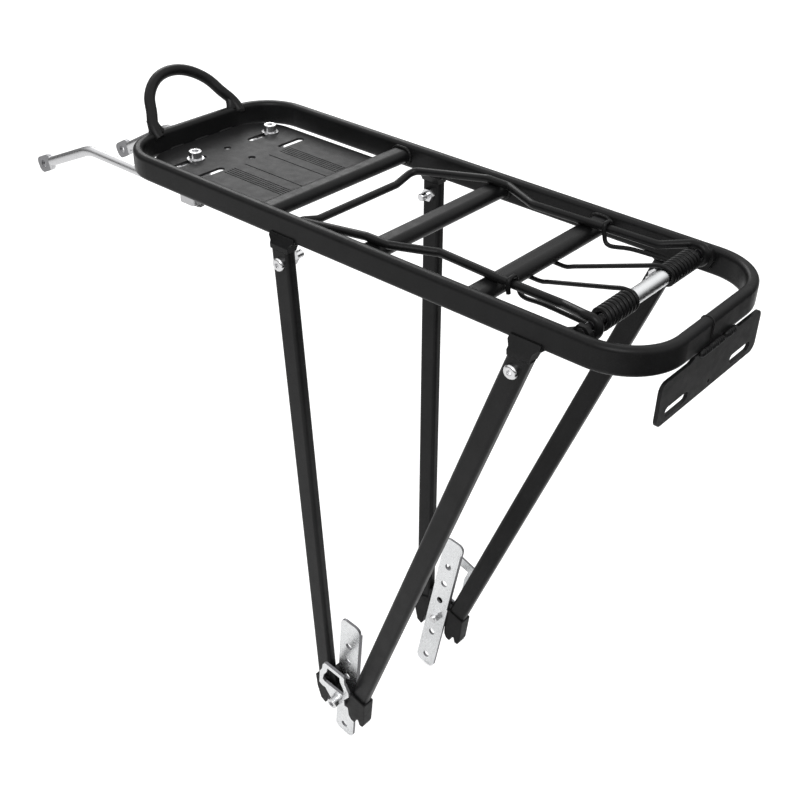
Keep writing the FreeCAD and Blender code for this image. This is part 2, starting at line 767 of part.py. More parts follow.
def make_strap():
    """Perforated strip with a stiffening flange down the rear edge of its upper half."""
    body = new_body("strap_blank")
    sketch = new_sketch(body, "strap_outline", "XZ_Plane")
    front, rear, top = "sizes.strap_front_reach", "-sizes.strap_rear_reach", "sizes.strap_length"
    foot_reach = 9.0
    rectangle(sketch, rear, -foot_reach, front, top)
    pad(body, "strap_pad", sketch, "sizes.strap_gauge", symmetric=True)
    round_edges(body, "strap_corners", 5.0, along(Y_AXIS))

    flange_gauge, flange_depth, flange_start, slope = 1.6, 2.6, 56.0, 4.0
    flange = new_sketch(body, "strap_flange", "YZ_Plane", rear)
    outline(
        flange,
        (
            (0, flange_start), (0, f"{top} - 5"),
            (-flange_depth, f"{top} - 8"), (-flange_depth, flange_start + slope),
        ),
    )
    pad(body, "strap_flange_pad", flange, flange_gauge)

    holes = new_sketch(body, "strap_second_hole", "XZ_Plane")
    circle(holes, 0, "sizes.strap_first_gap", "sizes.strap_hole")
    bore = pocket(body, "strap_hole_cut", holes, "4 * sizes.strap_gauge", symmetric=True)
    row = body.newObject("PartDesign::LinearPattern", "strap_hole_row")
    row.Originals = [bore]
    row.Direction = (holes, ["V_Axis"])
    row.Length = size("4 * sizes.strap_hole_pitch")
    row.setExpression("Length", "4 * sizes.strap_hole_pitch")
    row.Occurrences = 5
    body.Tip = row
    doc.recompute()
    body.Placement = strap_placement()

    # The lowest hole is square to the bicycle, not to the leaning strip.
    bore = doc.addObject("Part::Cylinder", "strap_first_hole")
    bore.setExpression("Radius", "sizes.strap_hole / 2")
    bore.Height = 20
    bore.Placement = Placement(Vector(0, size("sizes.strap_offset") - 10, 0), FACING_LEFT)
    return cut("adjuster_strap_left", body, bore)


def make_foot_bracket(cores):
    """Black foot that joins the two legs and carries the strap in a channel."""
    blank = new_body("bracket_blank")
    profile = new_sketch(blank, "bracket_profile", "XZ_Plane", "-sizes.bracket_outer")
    outline(
        profile,
        (
            (17.6, 53), (3.6, 58), (2.6, 68), (-2.6, 68), (-3.6, 54), (-15.0, 54), (-16.6, 57.4),
            (-31.0, 52.4), (-30.2, 40), (-29.6, 31), (-27.9, 26.6), (-25.0, 26.6), (-23.5, 32),
            (-21.3, 30.5), (-19.6, 25.4), (-16.2, 26.5), (-14.3, 30), (-13.8, 38), (-8.0, 37.6),
            (6.6, 36.6), (8.2, 30), (9.8, 25.2), (14.2, 28.2), (17.0, 40),
        ),
    )
    pad(blank, "bracket_pad", profile, "sizes.bracket_outer - sizes.bracket_inner")
    round_edges(blank, "bracket_corners", 0.9, along(Y_AXIS))

    channel = new_body("bracket_channel")
    section = new_sketch(channel, "channel_section", "XZ_Plane", "-(sizes.strap_gauge / 2 + 0.05)")
    rectangle(section, "-sizes.strap_rear_reach - 0.6", -40, "sizes.strap_front_reach + 0.5", 130)
    pad(channel, "channel_pad", section, 25)
    channel.Placement = strap_placement()

    face = new_body("bracket_face")
    trim = new_sketch(face, "face_trim", "XZ_Plane", "-sizes.foot_stack")
    rectangle(trim, -60, -60, 60, 60)
    pad(face, "face_trim_pad", trim, 20, backwards=True)
    face.Placement = foot_placement()

    bore = Part.makeCylinder(size("sizes.bolt_hole") / 2, 40, Vector(0, -20, 0), Y_AXIS)
    bolt_bore = solid_feature("bracket_bolt_bore", bore, foot_placement())
    tools = fuse("bracket_tools", cores + [channel, face, bolt_bore])
    return cut("foot_bracket_left", blank, tools)


def make_cord_hook():
    """Bent plate with a window, held by the foot bolt, for a strap or cord."""
    plate = new_body("hook_plate")
    face = new_sketch(plate, "hook_outline", "XZ_Plane")
    fold = 4.9
    outline(
        face,
        (
            (-7.5, fold), (14.3, fold), (16.8, 8.4), (13.7, 18), (9.9, 30.5), (4.9, 39), (1.8, 47.5),
            (-1.9, 52.5), (-19.1, 48), (-16.5, 37), (-17, 24), (-15.4, 17),
        ),
    )
    pad(plate, "hook_pad", face, "sizes.hook_gauge", backwards=True)
    round_edges(plate, "hook_corners", 1.8, along(Y_AXIS))
    window = new_sketch(plate, "hook_window", "XZ_Plane")
    outline(
        window,
        (
            (10.2, 19), (6.2, 28.6), (1.0, 37.2), (-2.4, 45.6), (-13.4, 43), (-11.8, 36),
            (-12.2, 24), (-10.4, 17), (-8.0, 12.4), (8.4, 16.2),
        ),
    )
    pocket(plate, "hook_window_cut", window, "sizes.hook_gauge")
    seat = foot_placement().multiply(Placement(Vector(0, size("sizes.foot_stack") + 0.1, 0), Rotation()))
    lean = Rotation(X_AXIS, -size("sizes.hook_lean"))
    hinge = Placement(Vector(0, 0, fold), lean).multiply(Placement(Vector(0, 0, -fold), Rotation()))
    plate.Placement = seat.multiply(hinge)

    tab = new_body("hook_tab")
    face = new_sketch(tab, "hook_tab_outline", "XZ_Plane")
    outline(face, ((-7.5, fold + 0.4), (-7.5, -2), (-3.5, -6.5), (3.5, -6.5), (7.5, -2), (12, fold + 0.4)))
    pad(tab, "hook_tab_pad", face, "sizes.hook_gauge", backwards=True)
    tab.Placement = seat
    joined = fuse("hook_joined", [plate, tab])
    bore = Part.makeCylinder(size("sizes.bolt_shank") / 2 + 0.05, 12, Vector(0, -3, 0), Y_AXIS)
    return cut("cord_hook_left", joined, solid_feature("hook_bore", bore, seat))


def make_foot_fasteners():
    """Bolt, washer and nut that hold the hook, the bracket and the strap together."""
    frame = foot_placement()
    washer_thickness = 1.0
    hook_face = size("sizes.foot_stack + sizes.hook_gauge") + 0.15
    washer_seat = frame.multiply(Placement(Vector(0, hook_face, 0), FACING_LEFT))
    head_seat = frame.multiply(Placement(Vector(0, hook_face + washer_thickness, 0), FACING_LEFT))
    nut_seat = frame.multiply(Placement(Vector(0, -size("sizes.strap_gauge") / 2 - 0.02, 0), FACING_RIGHT))
    bolt = placed(socket_bolt_shape(19.0), head_seat)
    washer = placed(washer_shape(9.4, washer_thickness), washer_seat)
    nut = placed(nut_shape(), nut_seat)
    return [
        group("foot_bolts", [bolt, mirrored(bolt)]),
        group("foot_washers", [washer, mirrored(washer)]),
        group("foot_nuts", [nut, mirrored(nut)]),
    ]


# --------------------------------------------------------------------- stays


def clamp_block(name, offset, low, high):
    """One half of a stay clamp, drilled for its bolt and grooved for the rod."""
    body = new_body(name)
    base = new_sketch(body, f"{name}_base", "XY_Plane", low)
    half_length, half_width = "sizes.clamp_length / 2", "sizes.clamp_width / 2"
    rectangle(
        base,
        f"sizes.clamp_station - {half_length}", f"{offset} + 2 - {half_width}",
        f"sizes.clamp_station + {half_length}", f"{offset} + 2 + {half_width}",
    )
    pad(body, f"{name}_pad", base, f"({high}) - ({low})")
    round_edges(body, f"{name}_corners", 3.0, along(Z_AXIS))
    hole = new_sketch(body, f"{name}_hole", "XY_Plane", low)
    circle(hole, "sizes.clamp_station", offset, "sizes.bolt_shank + 0.1")
    pocket(body, f"{name}_bore", hole, f"({high}) - ({low})", backwards=True)
    groove = new_sketch(body, f"{name}_groove", "YZ_Plane", "sizes.clamp_station")
    circle(groove, f"{offset} + sizes.rod_offset", "sizes.clamp_split_level", "sizes.rod_gauge + 0.1")
    pocket(body, f"{name}_groove_cut", groove, "2 * sizes.clamp_length", symmetric=True)
    return body


def make_clamp(side):
    """Two clamp halves with the bolt, washer and nut that ride in the plate's slot."""
    offset = f"sizes.{side}_clamp_offset"
    split, gap = "sizes.clamp_split_level", "sizes.clamp_gap / 2"
    plate_low = "sizes.plate_level"
    upper = clamp_block(f"clamp_upper_{side}", offset, f"{split} + {gap}", plate_low)
    lower = clamp_block(f"clamp_lower_{side}", offset, f"{split} - sizes.clamp_lower_depth", f"{split} - {gap}")
    station, across = size("sizes.clamp_station"), size(offset)
    plate_top = size(f"{plate_low} + sizes.plate_gauge")
    washer_thickness, tip = 1.0, 1.5
    washer_seat = Placement(Vector(station, across, plate_top), Rotation())
    head_seat = Placement(Vector(station, across, plate_top + washer_thickness), Rotation())
    nut_low = size(f"{split} - sizes.clamp_lower_depth - sizes.nut_height")
    bolt = placed(socket_bolt_shape(head_seat.Base.z - nut_low + tip), head_seat)
    washer = placed(washer_shape(11.5, washer_thickness), washer_seat)
    nut = placed(nut_shape(), Placement(Vector(station, across, nut_low), Rotation()))
    return [
        upper,
        lower,
        solid_feature(f"clamp_bolt_{side}", bolt),
        solid_feature(f"clamp_washer_{side}", washer),
        solid_feature(f"clamp_nut_{side}", nut),
    ]


def make_stay(side):
    """Bright rod that drops towards the seat stays and ends in a flattened eyelet."""
    across = size(f"sizes.{side}_clamp_offset + sizes.rod_offset")
    level, gauge = size("sizes.clamp_split_level"), size("sizes.rod_gauge")
    shift = size("sizes.right_rod_shift") if side == "right" else 0.0
    back_end = size("sizes.rod_back_end") + shift
    bend = Vector(size("sizes.rod_bend_station") + shift, across, level)
    droop = math.radians(size(f"sizes.{side}_rod_droop"))
    down = Vector(math.cos(droop), 0, -math.sin(droop))
    eye = bend + down * (size("sizes.eyelet_station - sizes.rod_bend_station") / down.x)
    neck = eye - down * 11.0
    path = bent_path([Vector(back_end, across, level), bend, neck], size("sizes.rod_bend_radius"))
    rod = swept_round(path, gauge)
    rim = [edge for edge in rod.Edges if edge.BoundBox.XMax < back_end + 1e-6]
    rod = rod.makeChamfer(0.5, rim)

    blade_length, blade_width, blade_gauge = 18.0, 12.0, 3.0
    blade = Part.makeBox(
        blade_length, blade_gauge, blade_width,
        Vector(-blade_length + 7.0, -blade_gauge / 2, -blade_width / 2),
    )
    corners = [edge for edge in blade.Edges if abs(edge.tangentAt(0).dot(Y_AXIS)) > 0.99]
    blade = blade.makeFillet(4.5, corners)
    shoulder = Part.makeCone(gauge / 2, blade_gauge / 2, 4.0, Vector(-11.0, 0, 0), X_AXIS)
    blade = blade.fuse(shoulder)
    blade = blade.cut(Part.makeCylinder(size("sizes.eyelet_hole") / 2, 20, Vector(0, -10, 0), Y_AXIS))
    blade = placed(blade, Placement(eye, Rotation(Y_AXIS, math.degrees(droop))))
    return solid_feature(f"stay_{side}", rod.fuse(blade).removeSplitter())


# --------------------------------------------------------------- spring clip


def make_axle():
    axle = doc.addObject("Part::Cylinder", "clip_axle")
    axle.Label = "clip_axle"
    axle.setExpression("Radius", "sizes.axle_gauge / 2")
    axle.setExpression("Height", "sizes.platform_width - 2 * sizes.rail_breadth - 0.2")
    half = size("sizes.platform_width / 2 - sizes.rail_breadth") - 0.1
    axle.Placement = Placement(
        Vector(size("sizes.axle_station"), -half, size("sizes.axle_level")), FACING_LEFT
    )
    doc.recompute()
    return axle


def make_sleeve():
    """Bright spacer tube between the two springs."""
    length, station, level = "2 * sizes.sleeve_half_length", "sizes.axle_station", "sizes.axle_level"
    body = new_body("axle_sleeve")
    section = new_sketch(body, "sleeve_section", "XZ_Plane")
    circle(section, station, level, "sizes.sleeve_gauge")
    circle(section, station, level, "sizes.axle_gauge + 0.1")
    pad(body, "sleeve_pad", section, length, symmetric=True)
    return body


def make_axle_bracket(outside):
    """Lug welded inside the rail that holds one end of the axle."""
    blank = new_body("axle_lug")
    face = new_sketch(blank, "lug_outline", "XZ_Plane", "-(sizes.platform_width / 2 - sizes.rail_breadth)")
    station, level = "sizes.axle_station", "sizes.axle_level"
    outline(
        face,
        (
            (f"{station} - 7.5", f"{level} - 4"), (f"{station} - 4.5", f"{level} - 11"),
            (f"{station} + 5", f"{level} - 11.5"), (f"{station} + 11", f"{level} - 6"),
            (f"{station} + 11", f"{level} - 2.5"), (f"{station} + 4.4", f"{level} + 0.6"),
            (f"{station} + 2.5", f"{level} + 3.8"), (f"{station} - 2.5", f"{level} + 3.8"),
            (f"{station} - 5", f"{level} + 1.5"),
        ),
    )
    pad(blank, "lug_pad", face, 3.4)
    round_edges(blank, "lug_corners", 1.2, along(Y_AXIS))
    bore = new_sketch(blank, "lug_bore", "XZ_Plane", "-(sizes.platform_width / 2)")
    circle(bore, station, level, "sizes.axle_gauge + 0.02")
    pocket(blank, "lug_bore_cut", bore, 30, symmetric=True)
    return cut("axle_bracket_left", blank, outside)


def make_clip_frame():
    """Spring-loaded wire frame that presses a load against the cross bars."""
    level, axle_level = size("sizes.clip_level"), size("sizes.axle_level")
    axle = size("sizes.axle_station")
    gauge = size("sizes.clip_gauge")
    # Each end of the wire curls most of the way round the axle.
    curl_radius = size("sizes.axle_gauge") / 2 + gauge / 2 + 0.06
    curl_offset = 54.2
    half = [
        Vector(33.0, 36.0, level - 14.6),
        Vector(33.0, 52.5, level - 10.0),
        Vector(-24.0, 56.2, level),
        Vector(-40.0, 56.0, level),
        Vector(-67.0, 43.6, level),
        Vector(-114.0, 46.0, level),
        Vector(-150.0, 46.8, level + 0.4),
        Vector(axle + 4.0, curl_offset, axle_level + curl_radius),
        Vector(axle, curl_offset, axle_level + curl_radius),
    ]
    right = [Vector(p.x, -p.y, p.z) for p in half]
    curls = []
    for side in (-1, 1):
        turns = [math.radians(angle) for angle in (90, 210, 330)]
        curl = [
            Vector(axle, side * curl_offset, axle_level)
            + Vector(math.cos(turn), 0, math.sin(turn)) * curl_radius
            for turn in turns
        ]
        curls.append(Part.Arc(*curl).toShape())
    arms = bent_path(list(reversed(right)) + half, 6.0)
    path = Part.Wire(Part.__sortEdges__([curls[0]] + arms.Edges + [curls[1]]))
    return solid_feature("clip_frame", swept_round(path, gauge))


def make_spring_left():
    """Torsion spring: an inner leg under the rear cross bar, an outer leg over the clip."""
    gauge = size("sizes.coil_gauge")
    radius = size("sizes.coil_outside") / 2 - gauge / 2
    begin, end = size("sizes.coil_start") + gauge / 2, size("sizes.coil_end") - gauge / 2
    turns = 7.5
    helix = Part.makeHelix((end - begin) / turns, end - begin, radius, 0, True)
    coil = swept_round(helix, gauge)
    axle = Vector(size("sizes.axle_station"), 0, size("sizes.axle_level"))
    # The coil starts at the top of the axle and ends at its bottom.
    seat = Placement(axle + Y_AXIS * begin, FACING_LEFT.multiply(Rotation(Z_AXIS, -90)))
    coil = placed(coil, seat)
    top = axle + Vector(0, begin, radius)
    bar_low = size("sizes.bar_level - sizes.bar_depth / 2")
    bar_back = size("sizes.rear_bar_station - sizes.bar_breadth / 2")
    under = Vector(bar_back - 3.0, 12.0, bar_low - gauge / 2 - 0.1)
    inner = bent_path([top, under, under + X_AXIS * 14.0], 4.0)
    bottom = axle + Vector(0, end, -radius)
    clip_level = size("sizes.clip_level")
    lift = size("sizes.clip_gauge") / 2 + gauge / 2 + 0.15
    arm = Vector(-117.0, 46.2, clip_level)
    outer = bent_path(
        [
            bottom,
            bottom + X_AXIS * 6.0,
            Vector(arm.x - 9.0, arm.y - lift - 0.2, clip_level - 11.0),
            Vector(arm.x, arm.y - lift, clip_level - 6.5),
            arm + Vector(0, -lift, lift),
            arm + Vector(0, lift, lift),
            arm + Vector(-1.0, lift, -3.0),
        ],
        1.6,
    )
    # A ball slightly larger than the wire joins each leg to its end of the coil.
    joints = [Part.makeSphere(gauge / 2 + 0.05, point) for point in (top, bottom)]
    legs = [swept_round(inner, gauge), swept_round(outer, gauge)]
    return solid_feature("torsion_spring_left", coil.multiFuse(joints + legs))


# ------------------------------------------------------------------ assembly

loop_outside = make_loop_outside()
bracket_left = make_axle_bracket(loop_outside)
cores = [make_leg_core("front"), make_leg_core("rear")]
legs_left = [make_leg("front"), make_leg("rear")]
tabs_left = [make_leg_tab("front", loop_outside), make_leg_tab("rear", loop_outside)]
foot_left = make_foot_bracket(cores)
strap_left = make_strap()
hook_left = make_cord_hook()
spring_left = make_spring_left()

parts = [
    make_platform_loop(loop_outside),
    make_crossbar("crossbar_front", "sizes.front_bar_station"),
    make_crossbar("crossbar_middle", "sizes.middle_bar_station"),
    make_crossbar("crossbar_rear", "sizes.rear_bar_station"),
    make_front_hoop(loop_outside),
    make_front_plate(),
    make_light_plate(),
    make_axle(),
    make_sleeve(),
    make_clip_frame(),
]
parts += make_leg_fasteners() + make_foot_fasteners()
for side in ("left", "right"):
    parts += make_clamp(side)
    parts.append(make_stay(side))
for piece in legs_left + tabs_left + [foot_left, strap_left, hook_left, spring_left, bracket_left]:
    parts.append(piece)
    parts.append(mirror_to_right(piece, piece.Label.replace("left", "right")))

doc.recompute()

for item in doc.Objects:
    if "Invalid" in item.State or "Error" in item.State:
        raise RuntimeError(f"{item.Label} failed: {item.State}")
for piece in parts:
    if piece.Shape.isNull() or not piece.Shape.isValid() or not piece.Shape.Solids:
        raise RuntimeError(f"{piece.Label} has no valid solid")

os.makedirs("parts", exist_ok=True)
for piece in parts:
    piece.Shape.exportStep(f"parts/{piece.Label}.step")
    print(f"{piece.Label}: {len(piece.Shape.Solids)} solids, {piece.Shape.Volume / 1000:.2f} cm3")
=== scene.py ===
import json
import math
import random

import bpy
from mathutils import Matrix, Vector


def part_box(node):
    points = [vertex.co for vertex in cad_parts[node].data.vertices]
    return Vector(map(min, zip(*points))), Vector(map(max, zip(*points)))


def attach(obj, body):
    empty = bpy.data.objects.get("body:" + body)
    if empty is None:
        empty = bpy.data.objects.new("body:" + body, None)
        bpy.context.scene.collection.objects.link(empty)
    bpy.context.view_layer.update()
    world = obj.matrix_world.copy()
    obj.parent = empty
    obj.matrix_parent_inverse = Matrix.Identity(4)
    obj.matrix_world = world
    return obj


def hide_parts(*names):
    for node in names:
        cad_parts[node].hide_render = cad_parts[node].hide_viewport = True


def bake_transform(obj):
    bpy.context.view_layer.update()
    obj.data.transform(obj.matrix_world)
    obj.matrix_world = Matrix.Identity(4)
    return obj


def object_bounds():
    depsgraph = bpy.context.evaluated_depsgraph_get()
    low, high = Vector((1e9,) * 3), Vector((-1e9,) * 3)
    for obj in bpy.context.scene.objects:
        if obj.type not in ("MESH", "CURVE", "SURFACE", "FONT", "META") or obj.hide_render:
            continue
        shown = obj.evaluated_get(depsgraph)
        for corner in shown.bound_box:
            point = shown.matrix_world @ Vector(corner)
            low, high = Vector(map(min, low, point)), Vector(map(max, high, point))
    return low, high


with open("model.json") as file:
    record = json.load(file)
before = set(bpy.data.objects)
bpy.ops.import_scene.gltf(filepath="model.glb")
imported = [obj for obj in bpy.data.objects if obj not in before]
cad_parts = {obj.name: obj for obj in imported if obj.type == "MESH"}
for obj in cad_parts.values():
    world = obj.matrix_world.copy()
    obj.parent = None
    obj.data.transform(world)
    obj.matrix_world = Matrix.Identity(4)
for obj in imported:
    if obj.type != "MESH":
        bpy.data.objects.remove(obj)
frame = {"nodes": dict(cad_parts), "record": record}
cad_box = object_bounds()
nodes = frame["nodes"]
random.seed(7)

MM = 0.001
X_AXIS, Y_AXIS, Z_AXIS = Vector((1, 0, 0)), Vector((0, 1, 0)), Vector((0, 0, 1))

# Sizes of the model that the boxes of its nodes do not show.
RAIL_BREADTH = 7.0 * MM
RAIL_ROUNDING = 3.0 * MM
CLIP_WIRE = 5.0 * MM


# ---------------------------------------------------------------- materials


def new_material(name):
    material = bpy.data.materials.new(name)
    material.use_nodes = True
    tree = material.node_tree
    tree.nodes.clear()
    output = tree.nodes.new("ShaderNodeOutputMaterial")
    shader = tree.nodes.new("ShaderNodeBsdfPrincipled")
    tree.links.new(shader.outputs["BSDF"], output.inputs["Surface"])
    return material, tree, shader


def noise(tree, scale, detail=4.0, stretch=(1, 1, 1)):
    """Noise in the object's own coordinates, in metres."""
    place = tree.nodes.new("ShaderNodeTexCoord")
    mapping = tree.nodes.new("ShaderNodeMapping")
    mapping.inputs["Scale"].default_value = stretch
    tree.links.new(place.outputs["Object"], mapping.inputs["Vector"])
    texture = tree.nodes.new("ShaderNodeTexNoise")
    texture.inputs["Scale"].default_value = scale
    texture.inputs["Detail"].default_value = detail
    texture.inputs["Roughness"].default_value = 0.55
    tree.links.new(mapping.outputs["Vector"], texture.inputs["Vector"])
    return texture.outputs["Fac"]


def remap(tree, value, low, high, out_low, out_high):
    node = tree.nodes.new("ShaderNodeMapRange")
    node.inputs["From Min"].default_value = low
    node.inputs["From Max"].default_value = high
    node.inputs["To Min"].default_value = out_low
    node.inputs["To Max"].default_value = out_high
    tree.links.new(value, node.inputs["Value"])
    return node.outputs["Result"]


def mix_colour(tree, factor, first, second):
    node = tree.nodes.new("ShaderNodeMix")
    node.data_type = "RGBA"
    for socket, colour in ((node.inputs["A"], first), (node.inputs["B"], second)):
        if isinstance(colour, tuple):
            socket.default_value = (*colour, 1.0)
        else:
            tree.links.new(colour, socket)
    tree.links.new(factor, node.inputs["Factor"])
    return node.outputs["Result"]


def soft_edges(tree, reach):
    """Normal that rounds the edges by reach, and a mask that is near 1 on those edges."""
    bevel = tree.nodes.new("ShaderNodeBevel")
    bevel.samples = 4
    bevel.inputs["Radius"].default_value = reach
    geometry = tree.nodes.new("ShaderNodeNewGeometry")
    dot = tree.nodes.new("ShaderNodeVectorMath")
    dot.operation = "DOT_PRODUCT"
    tree.links.new(bevel.outputs["Normal"], dot.inputs[0])
    tree.links.new(geometry.outputs["Normal"], dot.inputs[1])
    return bevel.outputs["Normal"], remap(tree, dot.outputs["Value"], 0.995, 0.80, 0.0, 1.0)


def bump(tree, shader, normal, height, strength, distance):
    node = tree.nodes.new("ShaderNodeBump")
    node.inputs["Strength"].default_value = strength
    node.inputs["Distance"].default_value = distance
    tree.links.new(height, node.inputs["Height"])
    tree.links.new(normal, node.inputs["Normal"])
    tree.links.new(node.outputs["Normal"], shader.inputs["Normal"])


def scaled(colour, factor):
    return tuple(factor * channel for channel in colour)


def painted(name, colour, roughness, grain=0.35, soft=0.5 * MM):
    """Satin powder coat: fine orange peel, edges lightened as wear and as a painted highlight, faint
    cloudiness.
    """
    material, tree, shader = new_material(name)
    normal, edge = soft_edges(tree, soft)
    cloud = remap(tree, noise(tree, 35.0), 0.35, 0.65, 0.0, 1.0)
    speck = remap(tree, noise(tree, 1500.0, detail=2.0), 0.40, 0.70, 0.0, 0.35)
    cloudy = mix_colour(tree, cloud, scaled(colour, 0.70), scaled(colour, 1.30))
    speckled = mix_colour(tree, speck, cloudy, scaled(colour, 2.8))
    # Lighter edges: partly wear, partly a painted highlight along the rounded edges.
    edge_wear_and_highlight = mix_colour(tree, edge, speckled, scaled(colour, 4.0))
    tree.links.new(edge_wear_and_highlight, shader.inputs["Base Color"])
    rough = remap(tree, noise(tree, 160.0), 0.3, 0.7, roughness - 0.05, roughness + 0.07)
    tree.links.new(rough, shader.inputs["Roughness"])
    shader.inputs["Specular IOR Level"].default_value = 0.17
    bump(tree, shader, normal, noise(tree, 2400.0, detail=2.0), grain, 0.15 * MM)
    return material


def plated(name, colour, roughness, stretch=(1, 1, 1)):
    """Zinc-plated metal: bright, finely grained, a little dull in patches, edges darkened by painted
    shade.
    """
    material, tree, shader = new_material(name)
    shader.inputs["Metallic"].default_value = 1.0
    normal, edge = soft_edges(tree, 0.25 * MM)
    cloud = remap(tree, noise(tree, 130.0), 0.30, 0.70, 0.0, 1.0)
    base = mix_colour(tree, cloud, scaled(colour, 0.94), colour)
    # Painted shade: the edges get a darker zinc.
    shaded_edges = mix_colour(tree, edge, base, scaled(colour, 0.30))
    tree.links.new(shaded_edges, shader.inputs["Base Color"])
    rough = remap(tree, noise(tree, 420.0), 0.3, 0.7, roughness - 0.03, roughness + 0.05)
    tree.links.new(rough, shader.inputs["Roughness"])
    bump(tree, shader, normal, noise(tree, 900.0, detail=3.0, stretch=stretch), 0.04, 0.2 * MM)
    return material


MATERIALS = {
    "black_tube": painted("black_tube", (0.0060, 0.0060, 0.0062), 0.34),
    "black_plate": painted("black_plate", (0.0110, 0.0110, 0.0113), 0.42),
    "black_foot": painted("black_foot", (0.0040, 0.0040, 0.0042), 0.44, soft=1.6 * MM),
    "black_wire": painted("black_wire", (0.0055, 0.0055, 0.0057), 0.30, grain=0.15),
    "axle_steel": plated("axle_steel", (0.52, 0.52, 0.53), 0.30),
    "bright_sleeve": plated("bright_sleeve", (0.86, 0.87, 0.88), 0.28, stretch=(1, 6, 1)),
    "zinc_strip": plated("zinc_strip", (0.90, 0.91, 0.92), 0.26),
    "zinc_fastener": plated("zinc_fastener", (0.82, 0.82, 0.83), 0.20),
    "clamp_metal": plated("clamp_metal", (0.62, 0.62, 0.63), 0.36),
    "stay_rod": plated("stay_rod", (0.70, 0.70, 0.71), 0.28),
    # Darker zinc for the flattened ends of the rods: painted shade.
    "stay_eyelet": plated("stay_eyelet", (0.30, 0.30, 0.31), 0.40),
    # Darker zinc for the edges and hole walls of straps and hooks: painted shade.
    "zinc_edge_shade": plated("zinc_edge_shade", (0.20, 0.20, 0.21), 0.45),
}

for row in frame["record"]["subparts"]:
    node = nodes[row["node"]]
    node.data.materials.clear()
    node.data.materials.append(MATERIALS[row["material_slot"]])

# The lamp bracket is painted like the tubes.
nodes["rear_light_plate"].data.materials[0] = MATERIALS["black_tube"]

for side in ("left", "right"):
    # The flattened ends of the rods get a rougher zinc, and a darker colour that is painted shade.
    rod = nodes[f"stay_{side}"].data
    rod.materials.append(MATERIALS["stay_eyelet"])
    flattened = max(vertex.co.x for vertex in rod.vertices) - 15.0 * MM
    for face in rod.polygons:
        face.material_index = 1 if face.center.x > flattened else 0

    # Painted shade: the sheared edges and the hole walls of straps and hooks get a darker zinc than
    # their faces.
    for name in ("adjuster_strap", "cord_hook"):
        strip = nodes[f"{name}_{side}"].data
        strip.materials.append(MATERIALS["zinc_edge_shade"])
        for face in strip.polygons:
            face.material_index = 1 if abs(face.normal.y) < 0.6 else 0


# ------------------------------------------------------------- mesh helpers


def box_of(node):
    low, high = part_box(node)
    return Vector(low), Vector(high)


def make_piece(name, points, faces, slot, body=None):
    """Smooth mesh piece from points and faces in metres, riding on a body."""
    mesh = bpy.data.meshes.new(name)
    mesh.from_pydata([tuple(point) for point in points], [], faces)
    mesh.shade_smooth()
    mesh.materials.append(MATERIALS[slot])
    piece = bpy.data.objects.new(name, mesh)
    bpy.context.scene.collection.objects.link(piece)
    if body is not None:
        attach(piece, body)
    return piece


def smooth_path(points, step):
    """Points of a Catmull-Rom curve through the given points, about step apart."""
    path = []
    for i in range(len(points) - 1):
        before = points[i - 1] if i > 0 else points[i]
        after = points[i + 2] if i + 2 < len(points) else points[i + 1]
        start, stop = points[i], points[i + 1]
        count = max(2, math.ceil((stop - start).length / step))
        for k in range(count):
            t = k / count
            path.append(
                0.5 * (
                    2 * start + (stop - before) * t
                    + (2 * before - 5 * start + 4 * stop - after) * t * t
                    + (3 * start - before - 3 * stop + after) * t * t * t
                )
            )
    path.append(points[-1])
    return path


def swept(path, radii, sides=12, closed=False):
    """Points and faces of a round bar along path; radii is one number or one per point."""
    count = len(path)
    if not hasattr(radii, "__len__"):
        radii = [radii] * count
    points, faces = [], []
    side = None
    for i, centre in enumerate(path):
        ahead = path[(i + 1) % count] if closed or i + 1 < count else path[i]
        behind = path[i - 1] if closed or i > 0 else path[i]
        tangent = (ahead - behind).normalized()
        if side is None:
            side = tangent.orthogonal()
        side = (side - tangent * side.dot(tangent)).normalized()
        other = tangent.cross(side)
        for k in range(sides):
            turn = 2 * math.pi * k / sides
            points.append(centre + radii[i] * (math.cos(turn) * side + math.sin(turn) * other))
    rings = count if closed else count - 1
    shift = 0
    if closed:
        # The frame has turned on its way round; join the last ring to the nearest point of the first.
        last = points[(count - 1) * sides]
        shift = min(range(sides), key=lambda k: (points[k] - last).length)
    for i in range(rings):
        follower = (i + 1) % count
        twist = shift if closed and follower == 0 else 0
        for k in range(sides):
            a, b = i * sides + k, i * sides + (k + 1) % sides
            c = follower * sides + (k + 1 + twist) % sides
            d = follower * sides + (k + twist) % sides
            faces.append((a, b, c, d))
    if not closed:
        faces.append(tuple(reversed(range(sides))))
        faces.append(tuple(range((count - 1) * sides, count * sides)))
    return points, faces


def weld_bead(name, outline, radius, closed=True):
    """Rippled weld bead on the frame, along an outline."""
    spacing, ripple = 0.45 * MM, 1.9 * MM
    path = []
    count = len(outline)
    for i in range(count if closed else count - 1):
        start, stop = outline[i], outline[(i + 1) % count]
        steps = max(1, round((stop - start).length / spacing))
        path += [start.lerp(stop, k / steps) for k in range(steps)]
    if not closed:
        path.append(outline[-1])
    travelled, radii, centres = 0.0, [], []
    for i, point in enumerate(path):
        if i:
            travelled += (point - path[i - 1]).length
        phase = (travelled / ripple) % 1.0
        swell = 0.86 + 0.22 * (1.0 - (2.0 * phase - 1.0) ** 2) + random.uniform(-0.04, 0.04)
        taper = 1.0
        if not closed:
            taper = min(1.0, 0.45 + i / 6, 0.45 + (len(path) - 1 - i) / 6)
        radii.append(radius * swell * taper)
        wobble = Vector([random.uniform(-1, 1) for _ in range(3)]) * radius * 0.05
        centres.append(point + wobble)
    points, faces = swept(centres, radii, sides=8, closed=closed)
    make_piece(name, points, faces, "black_tube", "frame")


